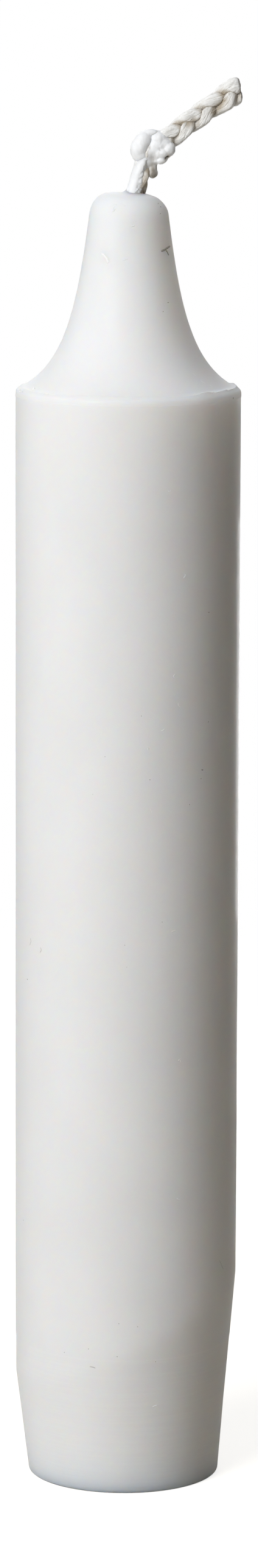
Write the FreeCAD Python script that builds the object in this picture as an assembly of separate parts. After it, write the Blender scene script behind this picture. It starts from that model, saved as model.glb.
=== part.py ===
import FreeCAD, Part
import math
import os

from FreeCAD import Vector

# A cast wax taper candle with a plaited cotton wick.
# Millimetres. The body's axis is Z, and the flat end of the foot lies on Z = 0.
# The wick bends over towards +X, and the side that the photograph shows faces -Y.

# Candle body
body_r = 11.05
shoulder_z = 109.3

# Flash ring that the mould's parting line leaves round the shoulder
flash_band_h = 0.6
flash_proud = 0.04
flash_ridge_w = 0.30
flash_ridge_h = 0.11

# Crown: a narrow rounded nose that flares out to the shoulder like a bell
crown_h = 18.85
nose_flat_r = 1.79
nose_round_r = 2.11
nose_lean_deg = 7.2
flare_pull_top = 10.3
flare_pull_skirt = 4.77
skirt_slope_deg = 27.8

# Shaved foot: a shallow cone, a little off the body's axis, with an eased rim
foot_face_r = 9.51
foot_widening_per_mm = 0.107
foot_offset_x = -0.20
foot_tilt_per_mm = -0.0224
foot_rim_chamfer = 0.25

# Wick: three cotton strands, plaited flat
strand_r = 0.38
packed_strand_r = 0.36
edge_swing = 0.82
face_swing = 0.48
plait_pitch = 7.6
plait_ease_in = 1.2

# Wick route: straight up a little beside the axis, a lean out of the crown, then a sharp bend towards +X
wick_off_axis_x = 0.64
plait_clear_of_wax = 0.02
lean_bend_r = 2.0
stem_lean_deg = 16.6
stem_length = 3.78
bend_r = 3.0
tip_rise_deg = 35.7
tip_length = 11.3
stem_roll_deg = 70.0
last_lobe_from_tip = 1.56

# Wax left on the wick's bend, placed from the corner of the bend as (x, y, z)
wax_to_wick = 0.07
left_bead_low = (-0.70, -0.55, 0.52)
left_bead_high = (-0.50, -0.55, 1.14)
left_bead_r = 0.98
right_lump_low = (1.50, -0.50, 0.60)
right_lump_high = (1.60, -0.50, 0.90)
right_lump_r = 1.13
drip_from = (0.55, -0.55, -0.55)
drip_to = (0.68, -0.45, -1.78)
drip_r = 0.44

# Worked-out sizes and fixed counts
crown_top_z = shoulder_z + crown_h
STRANDS = 3
SECTIONS_PER_PITCH = 12
SECTION_POINTS = 8
PLAIT_SQUARENESS = 2.8
CUT_PAST = 1.0
UP = Vector(0, 0, 1)


def crown_and_body_profile():
    """Half section in the XZ plane, from the foot's middle up the wall and over the crown."""
    band_r = body_r + flash_proud
    ridge_in_r = band_r - flash_ridge_w
    foot_corner = Vector(body_r, 0, 0)
    band_low = Vector(body_r, 0, shoulder_z - flash_band_h)
    band_foot = Vector(band_r, 0, shoulder_z - flash_band_h + flash_proud)
    ridge_out = Vector(band_r, 0, shoulder_z)
    ridge_top = Vector(band_r - flash_ridge_w / 2, 0, shoulder_z + flash_ridge_h)
    ridge_in = Vector(ridge_in_r, 0, shoulder_z + flash_ridge_h / 3)

    lean = math.radians(nose_lean_deg)
    slope = math.radians(skirt_slope_deg)
    nose_z = crown_top_z - nose_round_r
    nose_mid = math.radians(45 + nose_lean_deg / 2)
    nose_low = Vector(nose_flat_r + nose_round_r * math.cos(lean), 0, nose_z + nose_round_r * math.sin(lean))
    nose_bulge = Vector(nose_flat_r + nose_round_r * math.cos(nose_mid), 0,
                        nose_z + nose_round_r * math.sin(nose_mid))
    nose_top = Vector(nose_flat_r, 0, crown_top_z)

    flare = Part.BezierCurve()
    flare.setPoles([
        ridge_in,
        ridge_in + Vector(-math.cos(slope), 0, math.sin(slope)) * flare_pull_skirt,
        nose_low + Vector(math.sin(lean), 0, -math.cos(lean)) * flare_pull_top,
        nose_low,
    ])
    axis_top = Vector(0, 0, crown_top_z)
    origin = Vector(0, 0, 0)
    edges = [
        Part.LineSegment(origin, foot_corner).toShape(),
        Part.LineSegment(foot_corner, band_low).toShape(),
        Part.LineSegment(band_low, band_foot).toShape(),
        Part.LineSegment(band_foot, ridge_out).toShape(),
        Part.LineSegment(ridge_out, ridge_top).toShape(),
        Part.LineSegment(ridge_top, ridge_in).toShape(),
        flare.toShape(),
        Part.Arc(nose_low, nose_bulge, nose_top).toShape(),
        Part.LineSegment(nose_top, axis_top).toShape(),
        Part.LineSegment(axis_top, origin).toShape(),
    ]
    return Part.Face(Part.Wire(edges))


def shaved_cone():
    """The cone that the cutter leaves at the foot. It leans a little to -X and is wider than the body above."""
    tilt = Vector(foot_tilt_per_mm, 0, 1)
    start = Vector(foot_offset_x, 0, 0) - tilt * CUT_PAST
    length = (crown_top_z + 2 * CUT_PAST) * tilt.Length
    low_r = foot_face_r - foot_widening_per_mm * CUT_PAST
    return Part.makeCone(low_r, low_r + foot_widening_per_mm * length, length, start, tilt)


def eased_foot_rim(candle):
    """Ease the sharp rim where the shaved cone meets the flat end."""
    rim = [edge for edge in candle.Edges if edge.BoundBox.ZMax < foot_rim_chamfer]
    return candle.makeChamfer(foot_rim_chamfer, rim)


class WickRoute:
    """Centre line of the wick above the wax, in the XZ plane: arc, straight, arc, straight."""

    def __init__(self):
        lean = math.radians(stem_lean_deg)
        turn = math.radians(90 - tip_rise_deg) - lean
        lean_cut = lean_bend_r * math.tan(lean / 2)
        bend_cut = bend_r * math.tan(turn / 2)
        self.start = Vector(wick_off_axis_x, 0, crown_top_z + plait_clear_of_wax)
        self.corner = self.start + UP * lean_cut
        self.corner += Vector(math.sin(lean), 0, math.cos(lean)) * stem_length
        # each piece: length, turn over the piece, radius (0 on straight runs)
        self.pieces = [
            (lean_bend_r * lean, lean, lean_bend_r),
            (stem_length - lean_cut - bend_cut, 0.0, 0.0),
            (bend_r * turn, turn, bend_r),
            (tip_length - bend_cut, 0.0, 0.0),
        ]
        self.length = sum(piece[0] for piece in self.pieces)
        self.stem_end = self.pieces[0][0] + self.pieces[1][0]
        self.tip_start = self.stem_end + self.pieces[2][0]

    def at(self, distance):
        """Point and unit direction at a distance along the plait."""
        point = self.start
        angle = 0.0
        left = distance
        for length, turn, radius in self.pieces:
            step = min(left, length)
            ahead = Vector(math.sin(angle), 0, math.cos(angle))
            if radius:
                part_turn = turn * step / length
                inward = Vector(math.cos(angle), 0, -math.sin(angle))
                point = point + ahead * (radius * math.sin(part_turn))
                point = point + inward * (radius * (1 - math.cos(part_turn)))
                angle += part_turn
            else:
                point = point + ahead * step
            left -= step
            if left <= 0:
                break
        return point, Vector(math.sin(angle), 0, math.cos(angle))

    def roll(self, distance):
        """How far the flat plait is rolled about its own line: edge-on in the stem, flat past the bend."""
        middle = (self.stem_end + self.tip_start) / 2
        spread = self.tip_start - self.stem_end
        share = min(max((distance - middle + spread) / (2 * spread), 0.0), 1.0)
        smooth = share * share * (3 - 2 * share)
        return math.radians(stem_roll_deg) * (1 - smooth)


def plaited_length(distance):
    """Distance that the plait has run, eased in from the straight strands below."""
    if distance < plait_ease_in:
        return distance * distance / (2 * plait_ease_in)
    return distance - plait_ease_in / 2


def strand_centres(route, distance):
    """Where the three strands run at a distance, as (u, v) offsets across the wick.

    u is in the plane of the bend and v is along +Y. A strand comes to the front while it
    moves in from an edge, and goes behind while it moves out to the other edge.
    """
    run = plaited_length(distance) - plaited_length(route.length - last_lobe_from_tip)
    roll = route.roll(distance)
    centres = []
    for strand in range(STRANDS):
        phase = 2 * math.pi * (run / plait_pitch + strand / STRANDS)
        wide = edge_swing * math.cos(phase)
        deep = -face_swing * math.sin(2 * phase)
        centres.append((wide * math.cos(roll) - deep * math.sin(roll),
                        wide * math.sin(roll) + deep * math.cos(roll)))
    return centres


def outline_across(route, distance, middle, reach_at):
    """Points round a middle given as (u, v), in the plane across the wick."""
    point, ahead = route.at(distance)
    away = Vector(0, 1, 0)
    across = away.cross(ahead)
    outline = []
    for step in range(SECTION_POINTS):
        turn = 2 * math.pi * step / SECTION_POINTS
        reach = reach_at(turn)
        u = middle[0] + reach * math.cos(turn)
        v = middle[1] + reach * math.sin(turn)
        outline.append(point + across * u + away * v)
    return outline


def plait_outline(route, distance):
    """Points round all three strands together: a squarish oval a little clear of them."""
    half_wide = edge_swing + strand_r + wax_to_wick
    half_deep = face_swing + strand_r + wax_to_wick
    roll = route.roll(distance)

    def reach(turn):
        along_wide = abs(math.cos(turn - roll) / half_wide) ** PLAIT_SQUARENESS
        along_deep = abs(math.sin(turn - roll) / half_deep) ** PLAIT_SQUARENESS
        return (along_wide + along_deep) ** (-1 / PLAIT_SQUARENESS)

    return outline_across(route, distance, (0, 0), reach)


def smooth_skin(outlines):
    """One smooth surface through closed outlines that all have the same number of points.

    Each outline becomes a closed curve. The curves' poles are then joined lengthways.
    """
    around = [step / SECTION_POINTS for step in range(SECTION_POINTS + 1)]
    along = [step / (len(outlines) - 1) for step in range(len(outlines))]
    rings = []
    for outline in outlines:
        ring = Part.BSplineCurve()
        ring.interpolate(Points=outline, PeriodicFlag=True, Parameters=around)
        rings.append(ring)
    rows = []
    for number in range(rings[0].NbPoles):
        row = Part.BSplineCurve()
        row.interpolate(Points=[ring.getPole(number + 1) for ring in rings], Parameters=along)
        rows.append(row)
    skin = Part.BSplineSurface()
    skin.buildFromPolesMultsKnots(
        [row.getPoles() for row in rows],
        rings[0].getMultiplicities(), rows[0].getMultiplicities(),
        rings[0].getKnots(), rows[0].getKnots(),
        True, False, rings[0].Degree, rows[0].Degree)
    return skin


def skinned_solid(outlines):
    """A closed solid with a smooth side and a flat face at each end."""
    side = smooth_skin(outlines).toShape()
    caps = [Part.Face(Part.Wire(edge)) for edge in side.Edges if edge.isClosed()]
    closed = Part.Shell([side] + caps)
    closed.sewShape()
    return Part.Solid(closed)


def wick_strand(route, strand):
    """One strand: straight and packed thin inside the candle, then plaited up to the cut tip."""
    count = round(route.length / plait_pitch * SECTIONS_PER_PITCH)
    outlines = []
    for step in range(count + 1):
        distance = route.length * step / count
        middle = strand_centres(route, distance)[strand]
        outlines.append(outline_across(route, distance, middle, lambda turn: strand_r))
    first = strand_centres(route, 0)[strand]
    foot = Vector(wick_off_axis_x + first[0], first[1], 0)
    inside = Part.makeCylinder(packed_strand_r, route.start.z + plait_clear_of_wax, foot)
    return inside.fuse(skinned_solid(outlines))


def room_round_bend(route):
    """The space that the plait takes up near its bend, for the wax that set round it."""
    reach = 2 * (left_bead_r + right_lump_r)
    middle = (route.stem_end + route.tip_start) / 2
    first = max(middle - reach, 0)
    last = min(middle + reach, route.length)
    count = round((last - first) / plait_pitch * SECTIONS_PER_PITCH)
    stations = [first + (last - first) * step / count for step in range(count + 1)]
    return skinned_solid([plait_outline(route, station) for station in stations])


def blob(route, low, high, radius):
    """A rod with round ends, between two places given from the corner of the wick's bend."""
    start = route.corner + Vector(*low)
    end = route.corner + Vector(*high)
    run = end - start
    rod = Part.makeCylinder(radius, run.Length, start, run)
    rod = rod.fuse(Part.makeSphere(radius, start, run))
    return rod.fuse(Part.makeSphere(radius, end, run))


def bead_left_of_bend(route):
    """The large bead on the outside of the bend."""
    bead = blob(route, left_bead_low, left_bead_high, left_bead_r)
    return largest(bead.cut(room_round_bend(route)))


def drip_under_bend(route):
    """The lump on the inside of the bend, with the drip that hangs from it."""
    lump = blob(route, right_lump_low, right_lump_high, right_lump_r)
    lump = lump.fuse(blob(route, drip_from, drip_to, drip_r))
    return largest(lump.cut(room_round_bend(route)))


def largest(shape):
    """The main solid, without loose films that a cut leaves."""
    return max(shape.Solids, key=lambda solid: solid.Volume)


def wax_body(strands):
    """The cast candle itself, shaved at the foot and set round the wick."""
    candle = crown_and_body_profile().revolve(Vector(0, 0, 0), UP, 360)
    candle = eased_foot_rim(candle.common(shaved_cone()))
    for strand in strands:
        candle = candle.cut(strand)
    return largest(candle)


def save(name, shape):
    solid = largest(shape)
    print(name, "valid", solid.isValid(), "volume %.1f" % solid.Volume)
    solid.exportStep("parts/" + name + ".step")


os.makedirs("parts", exist_ok=True)
route = WickRoute()
strands = [wick_strand(route, number) for number in range(STRANDS)]
for number, strand in enumerate(strands):
    save("wick_strand_" + str(number + 1), strand)
save("wax_bead_on_wick", bead_left_of_bend(route))
save("wax_drip_on_wick", drip_under_bend(route))
save("wax_body", wax_body(strands))
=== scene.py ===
# %% [markdown]
# This lesson dresses a cast taper candle: a body of white wax with a bell-shaped crown and a shaved
# foot, and a plaited cotton wick that leans out of the crown, bends over and carries a few lumps of
# wax. The solids come from CAD and stay as they are. Blender adds what the eye looks for: the
# softness of wax, the ragged ring that a mould leaves, and the threads of the wick.

# %% Load the solids
import itertools
import math

import bmesh
import bpy
import numpy as np
from mathutils import Matrix, Vector
from mathutils.bvhtree import BVHTree


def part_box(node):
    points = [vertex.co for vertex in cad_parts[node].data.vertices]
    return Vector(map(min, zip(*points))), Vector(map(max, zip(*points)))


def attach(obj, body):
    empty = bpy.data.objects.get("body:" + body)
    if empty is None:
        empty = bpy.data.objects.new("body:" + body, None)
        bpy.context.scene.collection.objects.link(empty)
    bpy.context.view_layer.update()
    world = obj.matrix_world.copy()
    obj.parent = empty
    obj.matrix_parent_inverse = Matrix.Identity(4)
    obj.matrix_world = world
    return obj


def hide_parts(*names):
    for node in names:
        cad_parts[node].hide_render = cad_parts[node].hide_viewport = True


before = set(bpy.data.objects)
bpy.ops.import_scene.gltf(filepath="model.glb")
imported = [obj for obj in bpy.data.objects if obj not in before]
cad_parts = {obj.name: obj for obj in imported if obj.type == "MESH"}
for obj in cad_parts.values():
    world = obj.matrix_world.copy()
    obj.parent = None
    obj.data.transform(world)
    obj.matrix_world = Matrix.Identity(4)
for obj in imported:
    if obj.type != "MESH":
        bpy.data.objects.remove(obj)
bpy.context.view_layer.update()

MM = 0.001

# %% [markdown]
# The body's sizes are read from its solid, and the few that a box can't tell are written down here.
# All shapes are worked out in millimetres and turned into metres only when a mesh is made.

# %% Sizes of the body, in millimetres
body_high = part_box("wax_body")[1]
crown_top = body_high.z / MM
flash_proud = 0.04
band_r = body_high.x / MM
body_r = band_r - flash_proud
crown_h = 18.85
shoulder_z = crown_top - crown_h
nose_flat_r = 1.79
nose_round_r = 2.11
nose_lean = math.radians(7.2)
skirt_slope = math.radians(27.8)
flare_pull_top = 10.3
flare_pull_skirt = 4.77
flash_band_h = 0.6
flash_ridge_w = 0.3
foot_face_r = 9.51
foot_widening = 0.107
foot_offset_x = -0.2
foot_tilt = -0.0224
foot_rim_r = 0.3
print("shoulder at", round(shoulder_z, 2), "mm, crown top at", round(crown_top, 2), "mm")

# %% [markdown]
# Wax is never quite even. A lattice of random numbers, blended smoothly between its points, gives
# bumps of any size that stay the same on each run. Dice with a fixed seed place the marks later on.

# %% A smooth noise for shapes
NOISE_CELLS = 64


def soft_noise(points, size, seed):
    """Smooth random values from -1 to 1 at an array of points, with bumps about size apart."""
    lattice = np.random.default_rng(seed).uniform(-1, 1, (NOISE_CELLS,) * 3)
    scaled = np.asarray(points, float) / size
    cell = np.floor(scaled).astype(int)
    inside = scaled - cell
    inside = inside * inside * (3 - 2 * inside)
    total = np.zeros(scaled.shape[:-1])
    for corner in itertools.product((0, 1), repeat=3):
        weight = np.ones(scaled.shape[:-1])
        for axis in range(3):
            weight = weight * (inside[..., axis] if corner[axis] else 1 - inside[..., axis])
        index = tuple((cell[..., axis] + corner[axis]) % NOISE_CELLS for axis in range(3))
        total = total + weight * lattice[index]
    return total


def ramp(value, start, end):
    """0 before start, 1 after end and smooth between them; start may be the larger one."""
    share = np.clip((value - start) / (end - start), 0, 1)
    return share * share * (3 - 2 * share)


print("noise check", soft_noise([[1.0, 2.0, 3.0]], 1.5, 1))

# %% [markdown]
# Most pieces here are skins of rings: a row of points round each height, joined to the next row.
# These helpers make such a mesh, close both ends and take it on board as a part of the object.

# %% Make a mesh from rings


def rows_joined(base, rows, around):
    """Faces between rows of points whose numbers start at base."""
    faces = []
    for low in range(base, base + (rows - 1) * around, around):
        for step in range(around):
            beside = (step + 1) % around
            faces.append((low + step, low + beside, low + around + beside, low + around + step))
    return faces


def added(name, data):
    """Adds an object to the scene: a mesh, a lamp or a camera."""
    thing = bpy.data.objects.new(name, data)
    bpy.context.scene.collection.objects.link(thing)
    return thing


def on_board(name, mesh, finish):
    """Makes a smooth piece of the object out of a mesh, riding on the root body."""
    mesh.shade_smooth()
    mesh.materials.append(finish)
    piece = added(name, mesh)
    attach(piece, "root")
    return piece


def ringed_mesh(name, rings, finish):
    """A piece whose closed skin goes through rings of points in millimetres."""
    rows, around = rings.shape[:2]
    points = rings.reshape(-1, 3)
    middles = [rings[0].mean(0), rings[-1].mean(0)]
    faces = rows_joined(0, rows, around)
    last = (rows - 1) * around
    for step in range(around):
        beside = (step + 1) % around
        faces.append((len(points), beside, step))
        faces.append((len(points) + 1, last + step, last + beside))
    mesh = bpy.data.meshes.new(name)
    mesh.from_pydata((np.vstack([points] + middles) * MM).tolist(), [], faces)
    return on_board(name, mesh, finish)


print("ready to skin rings")

# %% [markdown]
# A finish is a small network of nodes. Two classes keep its maths readable: a Wire is a number that
# changes over the surface and takes + - * / like any other, and a Finish adds the nodes, to a
# material or to the room. Each sign in a formula then stands for one Math node.

# %% Wires and finishes


class Wire:
    """One output socket of a finish, with the usual arithmetic."""

    def __init__(self, finish, socket):
        self.finish = finish
        self.socket = socket

    def math(self, operation, *operands):
        """A Math node on these operands, one of which is this wire."""
        return self.finish.node("ShaderNodeMath", {"operation": operation}, dict(enumerate(operands)))

    def __add__(self, other):
        return self.math("ADD", self, other)

    def __radd__(self, other):
        return self.math("ADD", other, self)

    def __sub__(self, other):
        return self.math("SUBTRACT", self, other)

    def __rsub__(self, other):
        return self.math("SUBTRACT", other, self)

    def __mul__(self, other):
        return self.math("MULTIPLY", self, other)

    def __truediv__(self, other):
        return self.math("DIVIDE", self, other)

    def __abs__(self):
        return self.math("ABSOLUTE", self)

    def at_most(self, other):
        return self.math("MINIMUM", self, other)

    def at_least(self, other):
        return self.math("MAXIMUM", self, other)

    def ramp(self, start, end):
        """0 before start and 1 after end, smooth between them."""
        sockets = {"Value": self, "From Min": start, "From Max": end}
        return self.finish.node("ShaderNodeMapRange", {"interpolation_type": "SMOOTHSTEP"}, sockets)


class Finish:
    """The nodes of one material, or of the room's light, added one by one."""

    def __init__(self, owner):
        owner.use_nodes = True
        self.owner = owner
        self.nodes = owner.node_tree.nodes
        self.links = owner.node_tree.links
        self.nodes.clear()

    def node(self, kind, settings=None, sockets=None, output=0):
        """Adds a node: its settings first, then the values or links of its sockets."""
        made = self.nodes.new(kind)
        for key, value in (settings or {}).items():
            setattr(made, key, value)
        for key, value in (sockets or {}).items():
            if isinstance(value, Wire):
                self.links.new(value.socket, made.inputs[key])
            else:
                made.inputs[key].default_value = value
        return Wire(self, made.outputs[output]) if made.outputs else None

    def here(self):
        """Where a point lies on the object, as one vector in metres."""
        return self.node("ShaderNodeTexCoord", output="Object")

    def height(self):
        """How high a point lies on the object, in millimetres."""
        return self.node("ShaderNodeSeparateXYZ", None, {0: self.here()}, "Z") / MM

    def stored(self, name, output="Fac"):
        """What a mesh stores under that name for each of its points."""
        return self.node("ShaderNodeAttribute", {"attribute_name": name}, output=output)

    def noise(self, size, detail, stretch=(1, 1, 1), where=None):
        """Noise from 0 to 1 with features of that size in millimetres."""
        unit = MM if where is None else 1
        scale = [1 / (unit * size * along) for along in stretch]
        sockets = {0: where or self.here(), 1: scale}
        scaled = self.node("ShaderNodeVectorMath", {"operation": "MULTIPLY"}, sockets)
        return self.node("ShaderNodeTexNoise", None, {"Vector": scaled, "Scale": 1.0, "Detail": detail})

    def blend(self, first, second, share):
        """A colour between two colours."""
        return self.node("ShaderNodeMix", {"data_type": "RGBA"}, {0: share, 6: first, 7: second}, 2)

    def bump(self, height, depth_mm, strength):
        """A tilt of the surface that looks like heights of up to that depth."""
        sockets = {"Height": height, "Distance": depth_mm * MM, "Strength": strength}
        return self.node("ShaderNodeBump", None, sockets)

    def surface(self, sockets):
        """The shader itself, which ends a material."""
        shader = self.node("ShaderNodeBsdfPrincipled", None, sockets)
        self.node("ShaderNodeOutputMaterial", None, {"Surface": shader})
        return self.owner


print("ready to make finishes")

# %% [markdown]
# Candle wax lets light in and hands it back a few millimetres away, so its shadows are soft and a
# little warm. Subsurface scattering does that. On top come faint clouds in the white, a slightly
# uneven polish, and the fine lines that the cutter leaves round the foot.

# %% The wax finish
cutter_line_z = 14.0
cutter_line_w = 0.16
scrape_fade = 0.15
wax_white = (0.874, 0.873, 0.88, 1)
wax_cloud = (0.844, 0.843, 0.846, 1)
wax_scrape = (0.9, 0.905, 0.905, 1)
scatter_mm = (6.5, 5.2, 3.9)
WAX_IOR = 1.44


def wax_finish():
    wax = Finish(bpy.data.materials.new("cast_wax"))
    height = wax.height()
    cloud = wax.noise(9.0, 3.0, (1, 1, 1.6)).ramp(0.35, 0.7)
    colour = wax.blend(wax_white, wax_cloud, cloud * 0.8)
    on_foot = height.ramp(cutter_line_z + scrape_fade, cutter_line_z - scrape_fade)
    lines = wax.noise(0.5, 2.0, (14, 14, 0.5)).ramp(0.45, 0.62) * on_foot
    edge_line = 1 - (abs(height - cutter_line_z) / cutter_line_w).at_most(1.0)
    scraped = (lines * 0.35 + edge_line * 0.5).at_most(1.0)
    colour = wax.blend(colour, wax_scrape, scraped * 0.6)
    grain = wax.noise(0.35, 3.0) * 0.5 + wax.noise(1.7, 2.0) + lines * 0.25
    polish = 0.4 + wax.noise(2.4, 2.0) * 0.12 + lines * 0.1
    on_skirt = height.ramp(shoulder_z - 0.4, shoulder_z) * height.ramp(shoulder_z + 4.0, shoulder_z + 2.0)
    shiny = height.ramp(crown_top - 1.5, crown_top - 5.0) * (1 - on_skirt * 0.75)
    return wax.surface({
        "Base Color": colour,
        "Roughness": polish,
        "Normal": wax.bump(grain, 0.02, 0.5),
        "Subsurface Weight": 1.0,
        "Subsurface Radius": [radius * MM for radius in scatter_mm],
        "Subsurface Scale": 1.0,
        "Specular IOR Level": 0.05,
        "IOR": WAX_IOR,
        "Coat Weight": shiny * 0.07,
        "Coat Roughness": 0.06,
        "Coat IOR": WAX_IOR,
    })


cast_wax = wax_finish()
print("wax finish with", len(cast_wax.node_tree.nodes), "nodes")

# %% [markdown]
# The body is one casting. Its half outline runs from the middle of the crown down to the middle of
# the foot: a small flat top, a round nose, the bell-shaped flare, the ridge and band of flash at the
# shoulder, the straight wall and the shaved foot. Rows are close together where there is detail.

# %% Outline of the body
AROUND = 320
ROW_CROWDING = 1.6


def flare_points(count):
    """The bell curve from the nose down to the inside of the ridge, with close rows near the ridge."""
    outwards = np.array([math.cos(nose_lean), math.sin(nose_lean)])
    downwards = np.array([math.sin(nose_lean), -math.cos(nose_lean)])
    up_skirt = np.array([-math.cos(skirt_slope), math.sin(skirt_slope)])
    top = np.array([nose_flat_r, crown_top - nose_round_r]) + nose_round_r * outwards
    foot = np.array([band_r - flash_ridge_w, shoulder_z])
    top_pull = top + flare_pull_top * downwards
    foot_pull = foot + flare_pull_skirt * up_skirt
    left = (1 - np.linspace(0, 1, count)[:, None]) ** ROW_CROWDING
    gone = 1 - left
    return left ** 3 * top + 3 * gone * left * (left * top_pull + gone * foot_pull) + gone ** 3 * foot


def straight(start, end, count):
    """Evenly spaced outline points after start, up to and with end."""
    share = np.linspace(0, 1, count + 1)[1:, None]
    return np.array(start) + share * (np.array(end) - np.array(start))


turn = np.linspace(math.pi / 2, nose_lean, 24)
nose_reach = nose_flat_r + nose_round_r * np.cos(turn)
nose = np.column_stack([nose_reach, crown_top - nose_round_r * (1 - np.sin(turn))])
band_foot_z = shoulder_z - flash_band_h
wall_top_z = band_foot_z - 0.25
taper_top_z = 21.0
outline = np.vstack([
    straight((0.08, crown_top), (nose_flat_r, crown_top), 14),
    nose[1:],
    flare_points(92)[1:],
    straight((band_r - flash_ridge_w, shoulder_z), (band_r, shoulder_z), 12),
    straight((band_r, shoulder_z), (band_r, band_foot_z), 12),
    straight((band_r, band_foot_z), (body_r, wall_top_z), 6),
    straight((body_r, wall_top_z), (body_r, taper_top_z), 44),
    straight((body_r, taper_top_z), (body_r, foot_rim_r), 78),
    straight((body_r, foot_rim_r), (body_r, 0), 6),
])
print(len(outline), "rows of", AROUND, "points")

# %% [markdown]
# The foot isn't round about the body's axis: the cutter that shaved it stood a little to one side.
# So each row is brought in to the cutter's cone wherever the cone is the narrower of the two.

# %% Rings of the body


def soft_min(first, second, softness):
    """The smaller of two values, with the corner between them rounded."""
    return -softness * np.logaddexp(-first / softness, -second / softness)


azimuth = np.linspace(-math.pi, math.pi, AROUND, endpoint=False)
reach = np.repeat(outline[:, :1], AROUND, 1)
level = np.repeat(outline[:, 1:], AROUND, 1)
sine = np.repeat(np.sin(azimuth)[None], len(outline), 0)
cosine = np.repeat(np.cos(azimuth)[None], len(outline), 0)
cutter_x = foot_offset_x + foot_tilt * level
cutter_r = foot_face_r + foot_widening * level
cutter_reach = cutter_x * sine + np.sqrt(cutter_r ** 2 - (cutter_x * cosine) ** 2)
eased = np.clip(foot_rim_r - level, 0, foot_rim_r)
rim_loss = foot_rim_r - np.sqrt(foot_rim_r ** 2 - eased ** 2)
reach = np.where(level < taper_top_z + 4, soft_min(reach, cutter_reach, 0.012), reach) - rim_loss
print("the foot is", round(float(2 * reach[-1].max()), 2), "mm across")

# %% [markdown]
# Where the two halves of the mould meet, wax creeps out and leaves a soft lip round the shoulder. Its
# outer edge is rounded, and its crest is chipped and lumpy, most of all on the wick's side.

# %% Ragged lip at the shoulder
ring_points = np.column_stack([np.sin(azimuth) * body_r, np.cos(azimuth) * body_r, np.zeros(AROUND)])
degrees = np.degrees(azimuth)
lump_side = ramp(degrees, 30, 44) * ramp(degrees, 118, 96)
left_side = ramp(degrees, -118, -96) * ramp(degrees, -44, -60)
raggedness = soft_noise(ring_points, 1.1, 3) + 0.6 * soft_noise(ring_points, 0.45, 4)
lip_inset = 0.45
lip_width = 0.38
corner_h = 0.4
lip_lift = 0.08 + 0.11 * lump_side + 0.05 * left_side + 0.02 * raggedness
corner_w = 0.36 + 0.14 * lump_side
crest_rise = 0.02 + 0.03 * np.clip(raggedness, -0.5, 1)
crest_rise = crest_rise + 0.07 * lump_side * np.clip(0.6 + raggedness, 0, 1.6)
crest_inset = 0.52
crest_width = 0.14
inset = band_r - reach
is_crown = level > shoulder_z - 0.01
lip = lip_lift * np.exp(-((inset - lip_inset) / lip_width) ** 2)
crest = crest_rise * np.clip(1 - np.abs(inset - crest_inset) / crest_width, 0, 1)
corner_drop = corner_h * (1 - np.sqrt(1 - np.clip(1 - inset / corner_w, 0, 1) ** 2))
wall_drop = corner_h - lip_lift * math.exp(-(lip_inset / lip_width) ** 2)
is_band = (level >= band_foot_z) & ~is_crown
in_band = (shoulder_z - level) / flash_band_h
level = np.where(is_crown, level + lip + crest - corner_drop, level)
level = np.where(is_band, shoulder_z - wall_drop - in_band * (flash_band_h - wall_drop), level)
print("the lip stands", round(float((lip + crest).max()), 2), "mm high at most")

on_band = ramp(level, band_foot_z - 0.02, band_foot_z + 0.05)
on_band = on_band * ramp(level, shoulder_z - 0.1, shoulder_z - 0.3)
band_swell = 0.02 * soft_noise(ring_points, 1.2, 5) + 0.01 * soft_noise(ring_points, 0.4, 6)
reach = reach + on_band * (band_swell - 0.02)

# %% [markdown]
# The wall is straight but not perfect, and the top of the crown slopes a little towards the wick's
# side, with wax drawn up round the wick where it cooled. The rows run from the crown down, so the
# faces come out inside out, and flip_normals turns them to look outwards.

# %% Unevenness, and the wax drawn up round the wick
wick_x = 0.72
wick_foot_r = 1.0
body_points = np.stack([reach * sine, -reach * cosine, level], -1)
wave = 0.018 * soft_noise(body_points, 11.0, 7) + 0.006 * soft_noise(body_points, 2.6, 8)
wave = wave * ramp(level, crown_top, crown_top - 6) * ramp(level, 0, 2)
body_points[..., 0] += wave * sine
body_points[..., 1] -= wave * cosine
cutter_step = 0.03 * ramp(level, cutter_line_z + 0.2, cutter_line_z - 0.1) * ramp(level, 2, 8)
body_points[..., 0] -= cutter_step * sine
body_points[..., 1] += cutter_step * cosine

top_lift = 0.198
top_slope = 0.06
on_top = ramp(level, crown_top - 2.0, crown_top - 0.1)
body_points[..., 2] += on_top * (top_lift - top_slope * body_points[..., 0])
from_wick = np.hypot(body_points[..., 0] - wick_x, body_points[..., 1])
towards_left = np.clip((wick_x - body_points[..., 0]) / np.maximum(from_wick, 0.2), -1, 1)
drawn_up = (0.26 + 0.16 * towards_left) * np.exp(-np.maximum(from_wick - wick_foot_r, 0) / 0.33)
body_points[..., 2] += on_top * drawn_up
body_points[..., 2] += on_top * 0.03 * soft_noise(body_points, 0.9, 9)

candle_body = ringed_mesh("candle_body", body_points, cast_wax)
candle_body.data.flip_normals()
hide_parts("wax_body")
print("the body has", len(candle_body.data.polygons), "faces")

# %% [markdown]
# The wick's middle line leaves the wax almost upright, leans, and then bends over. Its heading is a
# formula of the distance along the wick, and adding up small steps in that heading gives the line.

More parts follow.
